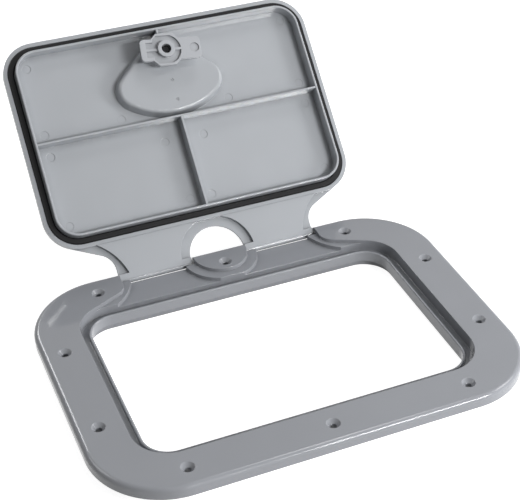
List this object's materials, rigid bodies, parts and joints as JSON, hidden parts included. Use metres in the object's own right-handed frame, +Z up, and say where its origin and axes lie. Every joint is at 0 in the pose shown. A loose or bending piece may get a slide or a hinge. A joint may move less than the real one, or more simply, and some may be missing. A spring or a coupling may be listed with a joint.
{
  "type": "hinged deck inspection hatch",
  "caption": "Hinged deck hatch: a screw-down frame with a gutter and sealing lip, and a ribbed lid that folds back on two tongues, with a lever latch.",
  "frame": {"origin": "middle of the hatch, on the deck on which the flange stands", "axes": "+Z up out of the deck, +X along the hinge to the right of someone who faces it, +Y towards the hinge"},
  "size_m": [0.375, 0.4403, 0.1843],
  "materials": {
    "frame_plastic": "smooth glossy moulded grey",
    "lid_plastic": "satin moulded grey",
    "latch_plastic": "satin moulded grey",
    "seal_rubber": "black rubber",
    "stainless_steel": "turned stainless steel"
  },
  "bodies": {
    "frame": {"frame": "frame_plastic"},
    "lid": {"lid": "lid_plastic", "gasket": "seal_rubber", "hinge_pin_outer_right": "stainless_steel", "hinge_pin_outer_left": "stainless_steel", "hinge_pin_inner_right": "stainless_steel", "hinge_pin_inner_left": "stainless_steel"},
    "latch": {"latch_lever": "latch_plastic", "spindle_seal": "seal_rubber", "latch_cam": "latch_plastic", "cam_washer": "stainless_steel", "cam_screw": "stainless_steel"}
  },
  "joints": [
    {"name": "lid_hinge", "type": "hinge", "parent": "frame", "child": "lid", "pos_m": [0, 0.1342, 0.0052], "axis": [1, 0, 0], "range_deg": [0, 135.4]},
    {"name": "latch_turn", "type": "hinge", "parent": "lid", "child": "latch", "pos_m": [0, 0.27727, 0.13954], "axis": [0, 0.7021, -0.712], "range_deg": [-96.5, 0]}
  ]
}
